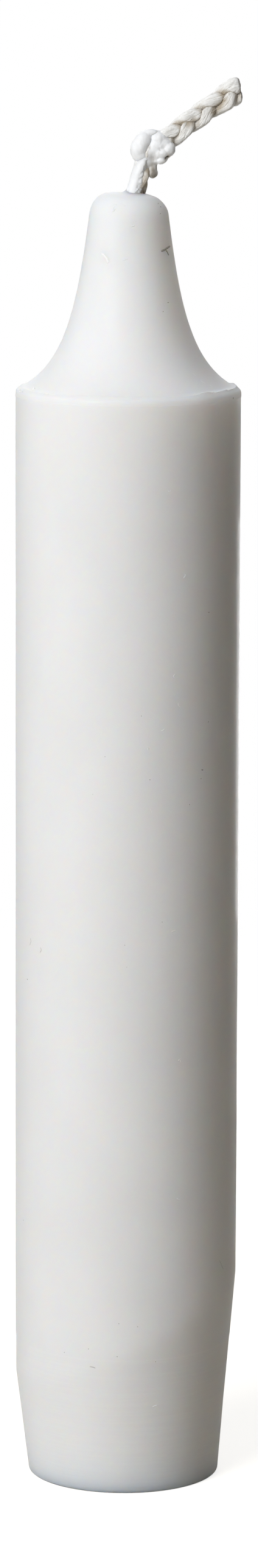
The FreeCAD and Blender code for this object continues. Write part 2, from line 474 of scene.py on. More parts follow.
# %% The wick's line
wick_start = np.array([0.64, 0.0, crown_top - 1.2])
buried = 1.2
stem_lean = math.radians(16.6)
tip_heading = math.radians(90 - 35.7)
tip_bow = math.radians(4.5)
bend_from = 3.08 + buried
bend_to = 5.05 + buried
wick_length = 16.3
STATIONS = 410
travel = np.linspace(0, wick_length, STATIONS)
heading = stem_lean * ramp(travel, buried - 0.6, buried + 0.6)
bent = np.clip((travel - bend_from) / (bend_to - bend_from), 0, 1)
past_bend = np.clip((travel - bend_to) / (wick_length - bend_to), 0, 1)
heading = heading + (tip_heading - tip_bow - stem_lean) * bent + 2 * tip_bow * past_bend
steps = np.stack([np.sin(heading), np.zeros(STATIONS), np.cos(heading)], -1) * (travel[1] - travel[0])
wick_line = wick_start + np.cumsum(steps, 0) - steps[0]
print("the wick's tip is at", np.round(wick_line[-1], 2), "mm")

# %% [markdown]
# A flat plait of three: each strand swings from edge to edge and dips under and over the others,
# a third of a turn behind the last. Soft cotton fills its room, so a strand's outline stops halfway
# to its neighbours and at the flat sides of the plait. The bend rolls the plait, which stands
# edge-on in the stem and flat past it. Towards the cut end it opens a little.

# %% Strands of the plait
STRANDS = 3
strand_r = 0.74
edge_swing = 0.61
face_swing = 0.4
half_wide = 1.11
half_deep = 0.84
plait_pitch = 7.6
pressed_in = 0.09
squeeze_sharpness = 5
stem_roll = math.radians(84)
stem_press = 0.93
last_lobe = 2.52
opening_from_tip = 3.3
opening = 0.17

roll = stem_roll * (1 - ramp(travel, bend_from - 1.0, bend_to + 1.0))
girth = stem_press + (1 - stem_press) * ramp(travel, bend_from, bend_to)
girth = girth + opening * ramp(travel, wick_length - opening_from_tip, wick_length - 0.9)
side = np.array([0.0, 1.0, 0.0])
headings = np.stack([np.sin(heading), np.zeros(STATIONS), np.cos(heading)], -1)
sideways = np.cross(side, headings)
wide_way = np.stack([np.cos(roll), np.sin(roll)], -1)
deep_way = np.stack([-np.sin(roll), np.cos(roll)], -1)


def strand_middle(strand):
    """Where a strand runs, as an offset across the wick at each station."""
    phase = 2 * math.pi * ((travel - wick_length + last_lobe) / plait_pitch + strand / STRANDS)
    wide = edge_swing * np.cos(phase) * girth
    deep = -face_swing * np.sin(2 * phase) * girth
    return wide[:, None] * wide_way + deep[:, None] * deep_way


middles = [strand_middle(strand) for strand in range(STRANDS)]
nearest = np.linalg.norm(middles[0] - middles[1], axis=-1).min()
print("strands come as near as", round(float(nearest), 2), "mm")

# %% [markdown]
# A strand is a bundle of threads, and each thread a bundle of fibres. The two larger kinds of groove
# are cut into the mesh, and they wander, as soft cotton does. The fibres are finer than the mesh:
# the finish draws them, along coordinates that follow the strand and are stored on its points.

# %% Skin of one strand
PLIES = 7
THREADS = 29
POINTS_ROUND = THREADS * 6
ply_depth = 0.075
thread_depth = 0.03
fibre_stretch = 0.1
end_rounding = 0.75
end_loss = 0.15
cut_rounding = 0.35
cut_loss = 0.05
around = np.linspace(0, 2 * math.pi, POINTS_ROUND, endpoint=False)
looks = np.stack([np.cos(around), np.sin(around)], -1)
corner = np.array([1.72, 0.0, 132.07])


def near_bend(x, y, z):
    """A place on the wick or its wax, measured from the corner of the bend."""
    return tuple(corner + np.array([x, y, z]))


# place from the corner of the bend, reach, depth, shade
soft_spots = [
    ((7.6, -0.9, 5.35), 0.5, 0.12, 1.5),
    ((7.05, -0.9, 4.75), 0.52, 0.16, 2.2),
    ((6.5, -0.9, 4.1), 0.48, 0.14, 2.0),
    ((4.05, -0.9, 3.05), 0.42, 0.12, 1.8),
    ((4.62, -0.9, 3.5), 0.4, 0.12, 1.8),
    ((5.4, -0.9, 4.1), 0.3, 0.04, 0.8),
    ((3.5, -0.9, 2.3), 0.3, 0.04, 0.8),
    ((0.05, -0.8, 0.25), 0.45, 0.0, 3.0),
]


def closeness(points, place, reach_mm):
    """1 at a place measured from the corner of the bend, and almost 0 at twice that reach from it."""
    return np.exp(-(np.linalg.norm(points - near_bend(*place), axis=-1) / reach_mm) ** 2)


def rounded_off(rounding, loss):
    """What the wick loses over its last stretch, along a quarter of a circle."""
    near_end = np.clip((travel - wick_length) / rounding + 1, 0, 1)[:, None]
    return loss * (1 - np.sqrt(1 - near_end ** 2))


def room_for(strand):
    """How far a strand reaches from its middle, in each direction round it."""
    limits = np.repeat((strand_r * girth[:, None]) ** -squeeze_sharpness, POINTS_ROUND, 1)

    def stop_at(normals, distances):
        facing = np.clip(normals @ looks.T, 0.02, 1)
        return (distances[:, None] / facing) ** -squeeze_sharpness

    for other in set(range(STRANDS)) - {strand}:
        apart = middles[other] - middles[strand]
        distance = np.linalg.norm(apart, axis=-1)
        limits = limits + stop_at(apart / distance[:, None], (distance + pressed_in) / 2)
    for way, half in ((wide_way, half_wide), (deep_way, half_deep)):
        offset = (middles[strand] * way).sum(-1)
        limits = limits + stop_at(way, half * girth - offset) + stop_at(-way, half * girth + offset)
    return limits ** (-1 / squeeze_sharpness)


def strand_skin(strand):
    """Rings of one strand, the painted shade of its grooves and soft spots, and its coordinates along and
    across the fibres.
    """
    lane = np.stack([travel * 0.5, np.full(STATIONS, 3.0 * strand), np.zeros(STATIONS)], -1)
    twist = (0.22 * travel + 0.5 * soft_noise(lane, 0.9, 20 + strand))[:, None]
    turned = around + twist
    run = np.repeat((travel * fibre_stretch + 5 * strand)[:, None], POINTS_ROUND, 1)
    fibres = np.stack([strand_r * np.cos(turned), strand_r * np.sin(turned), run], -1)
    ply = 1 - np.abs(np.sin(turned * PLIES / 2 + 1.1 * soft_noise(fibres, 0.22, 30 + strand)))
    thread = 1 - np.abs(np.sin(turned * THREADS / 2 + 1.6 * soft_noise(fibres, 0.11, 40 + strand)))
    open_ply = np.clip(0.55 + 0.7 * soft_noise(fibres, 0.3, 50 + strand), 0, 1)
    open_thread = np.clip(0.6 + 0.6 * soft_noise(fibres, 0.15, 60 + strand), 0, 1)
    # Painted shade in the grooves; the mesh's own grooves come from ply and thread below.
    groove_shade = ply ** 3 * open_ply + 0.5 * thread ** 2 * open_thread
    fuzz = soft_noise(fibres, 0.035, 70 + strand)
    swell = soft_noise(fibres, 0.5, 80 + strand)
    reach = room_for(strand) - ply_depth * ply ** 3 * open_ply - thread_depth * thread ** 2 * open_thread
    reach = reach + 0.004 * fuzz + 0.03 * swell
    real = wick_line[:, None] + looks[:, :1] * 0.5 + side * looks[:, 1:] * 0.5
    reach = reach + 0.035 * soft_noise(real + 4 * strand, 0.8, 85 + strand)
    reach = reach + 0.016 * soft_noise(real + 4 * strand, 0.22, 88 + strand)
    reach = reach - rounded_off(cut_rounding, cut_loss)
    drawn_in = 1 - rounded_off(end_rounding, end_loss)
    across = (middles[strand][:, :1] + reach * looks[:, 0]) * drawn_in
    beside = (middles[strand][:, 1:] + reach * looks[:, 1]) * drawn_in
    rings = wick_line[:, None] + sideways[:, None] * across[..., None] + side * beside[..., None]
    sunk = np.zeros(rings.shape[:2])
    # Soft spots sink dents and add painted shade round them.
    for place, reach_mm, depth, shade in soft_spots:
        near = closeness(rings, place, reach_mm)
        sunk = sunk + near * depth
        groove_shade = groove_shade + near * shade
    inwards = wick_line[:, None] - rings
    rings = rings + inwards / np.linalg.norm(inwards, axis=-1, keepdims=True) * sunk[..., None]
    return rings, np.clip(groove_shade, 0, 4), fibres


print("each strand has", STATIONS * POINTS_ROUND, "points and the wick", len(soft_spots), "soft spots")

# %% [markdown]
# Scissors cut the wick a little aslant, so its upper side reaches further. The ends of the threads
# stand at slightly different heights in the cut.

# %% The slanting cut
cut_slant = math.radians(20.6)
CUT_RINGS = 10


def cut_aslant(rings, strand):
    """Slides the last stretch of the rings along the wick to a slanting plane, and closes the end."""
    above = -np.einsum("sik,sk->si", rings - wick_line[:, None], sideways)
    near_end = ramp(travel, wick_length - 2.5, wick_length)[:, None]
    slide = above * math.tan(cut_slant) * near_end
    rings = rings + headings[-1] * slide[..., None]
    middle = rings[-1].mean(0)
    closing = []
    for share in np.linspace(0.95, 0.05, CUT_RINGS):
        ring = middle + (rings[-1] - middle) * share
        rise = 0.1 * (1 - share ** 2) + 0.06 * soft_noise(ring, 0.1, 90 + strand)
        closing.append(ring + headings[-1] * rise[:, None])
    return np.concatenate([rings, np.array(closing)])


print("the cut is", round(2 * half_wide * (1 + opening) * math.tan(cut_slant), 2), "mm longer above")

# %% [markdown]
# Waxed cotton is off-white and matt. The threads catch the light on their backs, and a beige painted
# shade darkens them in the grooves and in the hollows between the strands. How deep a point lies is
# stored on the mesh too, and the finish reads it.

# %% The cotton finish
# cotton_beige is the painted shade of the grooves and hollows, and the tone of random patches.
cotton_white = (0.965, 0.96, 0.945, 1)
cotton_beige = (0.49, 0.42, 0.325, 1)


def cotton_finish():
    cotton = Finish(bpy.data.materials.new("waxed_cotton"))
    fibres = cotton.stored("fibres", "Vector")
    hairs = cotton.noise(0.035, 3.0, where=fibres)
    locks = cotton.noise(0.12, 2.0, where=fibres)
    patch = cotton.noise(0.8, 2.0).ramp(0.35, 0.75)
    mottle = cotton.noise(0.2, 3.0, (1, 1, 0.7)).ramp(0.48, 0.72)
    dark_hairs = hairs.ramp(0.54, 0.7) * 0.12 + locks.ramp(0.55, 0.75) * 0.1
    shade = (cotton.stored("painted_shade_and_tone") + patch * 0.08 + mottle * 0.16 + dark_hairs).at_most(1.0)
    return cotton.surface({
        "Base Color": cotton.blend(cotton_white, cotton_beige, shade),
        "Roughness": 0.6 + hairs * 0.2,
        "Normal": cotton.bump(hairs + locks * 0.8 + mottle * 0.8, 0.02, 0.6),
        "Specular IOR Level": 0.15,
    })


waxed_cotton = cotton_finish()


def store(piece, name, values):
    """Keeps a number or a vector for each point of a mesh, for its finish to read."""
    values = np.asarray(values, np.float32)
    kind, field = ("FLOAT", "value") if values.ndim == 1 else ("FLOAT_VECTOR", "vector")
    attribute = piece.data.attributes.new(name, kind, "POINT")
    missing = len(piece.data.vertices) - len(values)
    padded = np.concatenate([values, np.repeat(values[-1:], missing, 0)])
    attribute.data.foreach_set(field, padded.ravel())


print("cotton finish with", len(waxed_cotton.node_tree.nodes), "nodes")

# %% [markdown]
# Now the strands are made. Each one stores how dark its points are: painted shade between the strands,
# in the grooves and round the soft spots, and a patchy darkening of the stem, most of all on its bare half.

# %% Make the three strands
strand_skins = []
for strand in range(STRANDS):
    rings, groove_shade, fibres = strand_skin(strand)
    across = np.einsum("sik,sk->si", rings - wick_line[:, None], sideways)
    beside = rings[..., 1]
    wide_share = (across * wide_way[:, :1] + beside * wide_way[:, 1:]) / (half_wide * girth[:, None])
    deep_share = (across * deep_way[:, :1] + beside * deep_way[:, 1:]) / (half_deep * girth[:, None])
    outwards = (np.abs(wide_share) ** 3 + np.abs(deep_share) ** 3) ** (1 / 3)
    # The stem's cotton is darker, most of all on its bare half, in patches.
    in_stem = ramp(travel, bend_from + 0.2, bend_from - 0.6)[:, None]
    patchy = np.clip(0.8 + soft_noise(rings, 0.4, 96), 0, 1.5)
    stem_darkening = in_stem * (0.25 + 0.75 * ramp(across, -0.1, 0.55) * patchy)
    uneven = 0.75 + 0.45 * soft_noise(rings, 1.3, 95)
    # Stored darkness: painted shade where a strand dips below the plait's face and in its grooves, plus the
    # stem's darkening.
    painted_shade_and_tone = np.clip(0.85 * ramp(outwards, 0.95, 0.66) * uneven + 0.22 * groove_shade + stem_darkening, 0, 1)
    skin = cut_aslant(rings, strand)
    piece = ringed_mesh("plait_strand_" + str(strand + 1), skin, waxed_cotton)
    cut_shade = np.full(CUT_RINGS * POINTS_ROUND, 0.25)
    store(piece, "painted_shade_and_tone", np.concatenate([painted_shade_and_tone.ravel(), cut_shade]))
    store(piece, "fibres", fibres.reshape(-1, 3))
    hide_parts("wick_strand_" + str(strand + 1))
    strand_skins.append(skin[:STATIONS])
print("the wick has", STRANDS * len(piece.data.polygons), "faces")

# %% [markdown]
# Thin things that lie on the wax and the wick, such as fibres, specks and curls, are small tubes. A
# tube is rings round a path, and many tubes together make one mesh, which keeps the scene light.

# %% Tubes along a path


def tube_rings(path, radius, sides=5, flatness=1.0, outwards=None):
    """Rings round each point of a path. A flat tube is thinner along the outward direction."""
    path = np.asarray(path, float)
    ahead = np.gradient(path, axis=0)
    ahead /= np.linalg.norm(ahead, axis=1)[:, None]
    if outwards is None:
        outwards = np.repeat([[0.0, -1.0, 0.2]], len(path), 0)
    flank = np.cross(ahead, outwards)
    flank /= np.linalg.norm(flank, axis=1)[:, None]
    lift = np.cross(flank, ahead)
    to_end = np.minimum(np.arange(len(path)), np.arange(len(path))[::-1])
    taper = np.clip(to_end / 2 + 0.35, 0, 1) * radius
    turn = np.linspace(0, 2 * math.pi, sides, endpoint=False)
    rings = path[:, None] + taper[:, None, None] * (
        flank[:, None] * np.cos(turn)[:, None] + flatness * lift[:, None] * np.sin(turn)[:, None])
    return rings


def joined_tubes(name, tubes, finish):
    """One mesh made of many small closed tubes, whose rings turn the other way from a skin's."""
    points = []
    faces = []
    for rings in tubes:
        rows, sides = rings.shape[:2]
        base = len(points)
        last = base + (rows - 1) * sides
        points += rings.reshape(-1, 3).tolist()
        for near, beside, far_beside, far in rows_joined(base, rows, sides):
            faces.append((near, far, far_beside, beside))
        faces.append(tuple(range(base, base + sides)))
        faces.append(tuple(reversed(range(last, last + sides))))
    mesh = bpy.data.meshes.new(name)
    mesh.from_pydata((np.array(points) * MM).tolist(), [], faces)
    return on_board(name, mesh, finish)


print("ready to lay tubes")

# %% [markdown]
# A few fibres have come loose. Each is a hair-thin tube that follows a strand's skin for a
# millimetre or two, wanders sideways and lifts off a little in its middle.

# %% Loose fibres
LOOSE_FIBRES = 130
dice = np.random.default_rng(11)
tubes = []
for fibre in range(LOOSE_FIBRES):
    skin = strand_skins[fibre % STRANDS]
    first = int(np.searchsorted(travel, dice.uniform(bend_to + 0.6, wick_length - 1.0)))
    count = int(dice.integers(8, 26))
    spot = dice.integers(0, POINTS_ROUND)
    wander = np.cumsum(dice.normal(0, 0.6, count)) + dice.normal(0, 1.2) * np.arange(count)
    stations = np.minimum(first + 2 * np.arange(count), STATIONS - 1)
    places = (spot + wander.astype(int)) % POINTS_ROUND
    foot = skin[stations, places]
    middle = skin[stations].mean(1)
    away = foot - middle
    away /= np.linalg.norm(away, axis=1)[:, None]
    lift = 0.012 + dice.uniform(0.0, 0.05) * np.sin(np.linspace(0, math.pi, count))
    tubes.append(tube_rings(foot + away * lift[:, None], dice.uniform(0.008, 0.015), outwards=away))
loose_fibres = joined_tubes("loose_fibres", tubes, waxed_cotton)
print(LOOSE_FIBRES, "loose fibres")

# %% [markdown]
# The wax on the wick is a thin layer, so light comes out again half a millimetre from where it goes
# in. It is a little glossy and cloudy, and turns beige to dark grey where its skin stores stains and
# painted shade.

# %% The finish of the thin wax
thin_wax_white = (0.955, 0.965, 0.98, 1)
thin_wax_cloud = (0.9, 0.91, 0.93, 1)
# Beige and dark grey for stains and for painted shade.
beige_stain_and_shade = (0.5, 0.45, 0.38, 1)
dark_stain_and_shade_grey = (0.13, 0.12, 0.105, 1)
thin_wax_scatter_mm = (0.5, 0.48, 0.46)


def thin_wax_finish():
    wax = Finish(bpy.data.materials.new("thin_wax"))
    cloud = wax.noise(0.7, 3.0).ramp(0.3, 0.75)
    threads = wax.noise(0.05, 3.0, (1, 1, 5))
    grit = wax.noise(0.22, 4.0)
    stain_and_shade = wax.stored("stain_and_shade") + threads.ramp(0.52, 0.72) * 0.05
    colour = wax.blend(thin_wax_white, thin_wax_cloud, cloud * 0.6)
    colour = wax.blend(colour, beige_stain_and_shade, (stain_and_shade * 1.6).at_most(1.0))
    return wax.surface({
        "Base Color": wax.blend(colour, dark_stain_and_shade_grey, stain_and_shade.ramp(0.32, 0.95)),
        "Roughness": 0.38 + cloud * 0.15,
        "Normal": wax.bump(grit + threads * 0.5, 0.04, 0.6),
        "Subsurface Weight": 0.6,
        "Subsurface Radius": [radius * MM for radius in thin_wax_scatter_mm],
        "Subsurface Scale": 1.0,
        "Specular IOR Level": 0.4,
        "IOR": WAX_IOR,
    })


thin_wax = thin_wax_finish()
print("thin wax finish with", len(thin_wax.node_tree.nodes), "nodes")

# %% [markdown]
# The wax on the wick set in lumps. Each lump starts as a few stretched balls that overlap. A remesh
# melts them into one skin and a smoothing pass takes out the creases, as surface tension does.
# Dents, stains and painted shade are pressed and painted into the skin afterwards, round a few chosen
# spots.

# %% Melt balls into one lump
LUMP_VOXEL = 0.05


def melted_lump(name, balls, seed, lumpiness, smoothing, stains_and_shade, dents=()):
    """One wax piece in millimetres. Balls are (place, half sizes, lean towards +X in degrees).
    Stains and painted shade (place, reach, strength) and dents (place, reach, depth) are measured from the
    bend."""
    made = bmesh.new()
    for place, half_sizes, lean in balls:
        turned = Matrix.Translation(place) @ Matrix.Rotation(math.radians(lean), 4, "Y")
        stretch = Matrix.Diagonal((*half_sizes, 1))
        bmesh.ops.create_icosphere(made, subdivisions=4, radius=1, matrix=turned @ stretch)
    mesh = bpy.data.meshes.new(name)
    made.to_mesh(mesh)
    made.free()
    piece = added(name, mesh)
    melt = piece.modifiers.new("melt", "REMESH")
    melt.mode = "VOXEL"
    melt.voxel_size = LUMP_VOXEL
    tension = piece.modifiers.new("tension", "SMOOTH")
    tension.iterations = smoothing
    bpy.context.view_layer.update()
    melted = piece.evaluated_get(bpy.context.evaluated_depsgraph_get())
    skin = bpy.data.meshes.new_from_object(melted)
    piece.modifiers.clear()
    piece.data = skin
    bpy.data.meshes.remove(mesh)
    skin.name = name
    points = np.array([point.co for point in skin.vertices])
    normals = np.array([point.normal for point in skin.vertices])
    # Large bumps, smaller ones, and fine ones that are drawn out upwards.
    push = soft_noise(points, 0.7, seed) + 0.5 * soft_noise(points, 0.25, seed + 1)
    push = lumpiness * (push + 0.25 * soft_noise(points * (1, 1, 0.4), 0.11, seed + 2))
    for place, reach_mm, depth in dents:
        push = push - depth * closeness(points, place, reach_mm)
    # Stains and painted shade, stored for the finish.
    stain_and_shade = np.zeros(len(points))
    for place, reach_mm, strength in stains_and_shade:
        stain_and_shade = stain_and_shade + strength * closeness(points, place, reach_mm)
    points = points + normals * push[:, None]
    skin.vertices.foreach_set("co", (points * MM).astype(np.float32).ravel())
    skin.update()
    skin.shade_smooth()
    skin.materials.clear()
    skin.materials.append(thin_wax)
    store(piece, "stain_and_shade", stain_and_shade)
    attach(piece, "root")
    return piece


print("ready to melt wax")

# %% [markdown]
# The large bead sits on the outside of the bend with a small drop on top of it. On the inside the
# wax has run along the wick itself, so that lump is a chain of balls along the wick's line. It has a
# swelling at its lower end, a lip below with a pit above it that is painted dark, and it ends in a
# hanging drip whose end is painted grey as shade and a dark reflection.

# %% Wax on the bend


def along_wick(distance, across, beside):
    """A place at that distance past the start of the bend, a little off the wick's line."""
    row = int(np.searchsorted(travel, bend_from + distance))
    return tuple(wick_line[row] + sideways[row] * across + side * beside)


bead = melted_lump("wax_bead", [
    (near_bend(-0.64, -0.42, 0.72), (0.96, 0.84, 1.22), 16),
    (near_bend(-0.36, -0.46, 1.35), (0.86, 0.76, 1.02), 20),
    (near_bend(0.45, -0.35, 2.26), (0.78, 0.5, 0.34), 2),
    (near_bend(-0.54, -0.38, 0.05), (0.92, 0.8, 0.72), 0),
], seed=50, lumpiness=0.035, smoothing=20, stains_and_shade=[
    # painted shade in the crevice between the bead and the drip
    ((0.25, -0.95, 0.9), 0.28, 0.22),
    ((0.15, -0.9, 0.1), 0.3, 0.35),
])
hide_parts("wax_bead_on_wick")
drip = melted_lump("wax_drip", [
    (along_wick(0.9, 0.05, -0.12), (1.05, 1.02, 1.05), 0),
    (along_wick(1.4, 0.02, -0.14), (1.12, 1.05, 1.12), 0),
    (along_wick(1.9, 0.0, -0.14), (1.15, 1.05, 1.15), 0),
    (along_wick(2.4, 0.02, -0.12), (1.12, 1.02, 1.12), 0),
    (along_wick(2.8, 0.1, -0.1), (1.02, 0.98, 1.02), 0),
    (near_bend(1.2, -0.3, 1.62), (0.9, 0.78, 0.84), 0),
    (near_bend(0.46, -0.4, 0.1), (0.5, 0.56, 0.8), 0),
    (near_bend(0.08, -0.34, 0.35), (0.5, 0.52, 0.85), 10),
    (near_bend(2.12, -0.45, 0.66), (0.66, 0.74, 0.78), 25),
    (near_bend(1.45, -0.5, 0.25), (0.92, 0.8, 0.62), 10),
    (near_bend(1.46, -0.62, -0.4), (0.6, 0.5, 0.38), -18),
    (near_bend(0.8, -0.6, -0.52), (0.62, 0.42, 0.22), 4),
    (near_bend(0.58, -0.4, -0.8), (0.46, 0.42, 0.6), 0),
    (near_bend(0.58, -0.4, -1.25), (0.44, 0.42, 0.6), 0),
    (near_bend(0.62, -0.38, -1.68), (0.48, 0.44, 0.5), 0),
], seed=60, lumpiness=0.045, smoothing=16, dents=[
    ((2.0, -1.05, -0.14), 0.2, 0.18),
    ((1.3, -1.2, 0.7), 0.12, 0.04),
    ((0.55, -1.05, -0.15), 0.28, 0.15),
], stains_and_shade=[
    # the pit, painted dark
    ((2.1, -0.98, -0.1), 0.17, 0.9),
    ((1.86, -1.02, -0.2), 0.14, 0.8),
    # painted shade and a dark reflection that grey the drip's end
    ((0.66, -0.7, -1.9), 0.5, 0.66),
    ((0.6, -0.8, -1.3), 0.4, 0.4),
    ((0.5, -0.8, -0.85), 0.34, 0.24),
    # painted shade where the drip meets the bead
    ((0.55, -0.95, -0.25), 0.36, 0.36),
    ((0.32, -0.95, 0.3), 0.26, 0.3),
    ((0.2, -0.9, 0.85), 0.22, 0.16),
    ((0.22, -1.0, 0.8), 0.22, 0.3),
    # a small dent, painted dark
    ((1.25, -1.2, 0.6), 0.1, 0.3),
    ((1.18, -1.2, 0.35), 0.1, 0.3),
    ((2.75, -0.6, 0.6), 0.45, 0.12),
])
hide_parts("wax_drip_on_wick")
print("wax pieces have", [len(piece.data.polygons) for piece in (bead, drip)], "faces")

# %% [markdown]
# The stem was dipped in wax, which ran down its outer side and left the other half bare. The coat is
# one smooth tube that stands out past the strands on the outer side and lies under them on the
# inner side, so the threads come out of it along a ragged line.

# %% Wax coat on the stem
coat_from = 0.5
coat_to = bend_from + 1.1
coat_shift = (-0.29, -0.06)
coat_half = (0.76, 1.06)
COAT_SPOTS = 96
coat_rows = np.flatnonzero((travel >= coat_from) & (travel <= coat_to))
spin = np.linspace(0, 2 * math.pi, COAT_SPOTS, endpoint=False)
coat_rounding = 0.5
near_rim = np.clip((travel[coat_rows] - coat_to) / coat_rounding + 1, 0, 0.995)
rounding = np.sqrt(1 - near_rim ** 2)[:, None, None]
coat_across = coat_shift[0] + coat_half[0] * np.cos(spin)
coat_beside = coat_shift[1] + coat_half[1] * np.sin(spin)
coat = (wick_line[coat_rows][:, None] + sideways[coat_rows][:, None] * coat_across[:, None]
        + side * coat_beside[:, None])
coat_middle = coat.mean(1, keepdims=True)
rugged = ramp(coat_across, -0.5, 0.1)
ragged = soft_noise(coat * (1, 1, 0.5), 0.42, 72) + 0.6 * soft_noise(coat, 0.17, 73)
uneven = 1 + 0.025 * soft_noise(coat, 0.8, 71) + 0.012 * soft_noise(coat, 0.25, 74)
uneven = uneven + rugged * (0.03 + 0.13 * ragged)
coat = coat_middle + (coat - coat_middle) * rounding * uneven[..., None]
stem_coat = ringed_mesh("wax_coat_on_stem", coat, thin_wax)
# The coat is darker towards the wick's bare side, in patches.
patchy = np.clip(0.3 + 0.9 * soft_noise(coat * (1, 1, 0.6), 0.3, 75), 0, 1)
store(stem_coat, "stain_and_shade", (0.34 * ramp(coat_across, -0.35, 0.25) * patchy).ravel())
print("the coat has", len(stem_coat.data.polygons), "faces")

# %% [markdown]
# Small marks make the wax look handled: specks of dirt pressed into it, a couple of scratches, and
# thin curls of wax that stand up from the wall. They are matt, with small blotches in their colour.

# %% Finishes of the marks


def plain_finish(name, colour, shade):
    """A matt finish with small blotches."""
    finish = Finish(bpy.data.materials.new(name))
    blotch = finish.noise(0.05, 2.0).ramp(0.35, 0.7)
    return finish.surface({
        "Base Color": finish.blend(colour, shade, blotch),
        "Roughness": 0.6 + blotch * 0.2,
        "Normal": finish.bump(blotch, 0.01, 0.5),
    })


dirt_and_nick_shade = plain_finish("dirt_and_nick_shade", (0.27, 0.25, 0.22, 1), (0.42, 0.39, 0.36, 1))
grey_dust = plain_finish("grey_dust", (0.5, 0.49, 0.48, 1), (0.62, 0.61, 0.6, 1))
wax_curl_and_glint = plain_finish("wax_curl_and_glint", (0.95, 0.95, 0.95, 1), (0.91, 0.91, 0.91, 1))
print("mark finishes ready")

# %% [markdown]
# Each mark is a small form of its own. A ray from the front finds the wall where the mark belongs,
# so it sits on the wax from any side.

# %% Find the wall and lay a stroke on it
body_tree = BVHTree.FromObject(candle_body, bpy.context.evaluated_depsgraph_get())


def on_wall(x, z):
    """The wall's place and outward direction at x and z, in millimetres, seen from the front."""
    spot, normal = body_tree.ray_cast(Vector((x * MM, -0.05, z * MM)), Vector((0, 1, 0)))[:2]
    return np.array(spot) / MM, np.array(normal)


def stroke(corners, radius, sunk, wobble=0.03, points_per_mm=14):
    """A thin flat tube on the wall along straight runs between corners (x, z)."""
    corners = np.asarray(corners, float)
    lengths = np.linalg.norm(np.diff(corners, axis=0), axis=1)
    stops = np.concatenate([[0], np.cumsum(lengths)])
    count = max(4, int(stops[-1] * points_per_mm))
    along = np.linspace(0, stops[-1], count)
    track = np.stack([np.interp(along, stops, corners[:, axis]) for axis in range(2)], -1)
    track = track + wobble * dice.normal(0, 1, track.shape).cumsum(0) / math.sqrt(count)
    found = [on_wall(*place) for place in track]
    outwards = np.array([normal for spot, normal in found])
    path = np.array([spot for spot, normal in found]) - outwards * sunk
    return tube_rings(path, radius, 6, 0.6, outwards)


def short_ends(x, z, slant, reach_mm):
    """The ends of a short run through a place on the wall."""
    step = np.array([math.cos(slant), math.sin(slant)]) * reach_mm
    return [(x, z) - step, (x, z) + step]


print("the wall at half height is", round(float(-on_wall(0, 60)[0][1]), 2), "mm in front of the axis")

# %% [markdown]
# Specks of dirt are short dark strokes in any direction. They lie where the photograph shows them,
# most of them on the front. Two longer dark strokes on the crown meet in the shape of a T: a nick,
# painted dark as its shade.

# %% Specks of dirt, and the painted shade of a nick
# x, z, size
specks = [
    (7.27, 72.85, 0.1), (7.21, 72.02, 0.05), (2.21, 72.3, 0.05), (7.9, 88.3, 0.05),
    (1.36, 78.6, 0.05), (7.9, 77.51, 0.05), (6.08, 69.57, 0.05), (-3.35, 70.79, 0.04),
    (-2.17, 74.56, 0.04), (-9.78, 51.3, 0.05), (-0.17, 55.93, 0.05), (0.02, 53.75, 0.04),
    (3.45, 58.14, 0.04), (-10.22, 26.68, 0.04), (-0.65, 17.84, 0.05), (1.21, 17.52, 0.05),
    (-6.08, 14.42, 0.05), (-3.66, 15.12, 0.06), (-0.83, 14.49, 0.05), (2.97, 13.82, 0.05),
    (2.86, 127.54, 0.05), (3.1, 127.2, 0.06), (3.05, 126.6, 0.04), (3.84, 118.08, 0.06),
    (3.36, 117.25, 0.05), (10.21, 108.85, 0.11),
]
speck_tubes = []
for x, z, size in specks:
    ends = short_ends(x, z, dice.uniform(0, math.pi), size * dice.uniform(0.7, 1.4))
    speck_tubes.append(stroke(ends, size * 0.8, size * 0.1, 0.3 * size))
# The T is a nick on the crown: its two dark strokes are painted shade.
speck_tubes.append(stroke([(3.12, 122.98), (3.62, 123.2), (4.05, 123.42)], 0.13, 0.03))
speck_tubes.append(stroke([(3.59, 123.1), (3.72, 122.8), (3.88, 122.45)], 0.09, 0.02))
dirt_specks_and_nick_shade = joined_tubes("dirt_specks_and_nick_shade", speck_tubes, dirt_and_nick_shade)
print(len(specks), "specks")

# %% [markdown]
# Scratches are longer than the specks, and dust has made them grey.

# %% Scratches
# corners, thickness
scratches = [
    ([(-8.49, 54.93), (-8.4, 54.63), (-8.55, 54.3)], 0.04),
    ([(-9.47, 55.6), (-9.4, 55.21), (-9.5, 54.8)], 0.03),
    ([(9.31, 23.07), (9.75, 21.94)], 0.03),
    ([(-3.55, 13.33), (-3.23, 13.27), (-2.95, 13.22)], 0.05),
]
scratch_tubes = [stroke(line, thick, 0.2 * thick) for line, thick in scratches]
scratch_marks = joined_tubes("scratch_marks", scratch_tubes, grey_dust)
print(len(scratches), "scratches")

# %% [markdown]
# The mould's edge and the packing scrape thin curls off the wax. They stay white, so they show only
# by their small shadows. A few longer ones are listed one by one, and white flecks on the nose are
# painted glints.

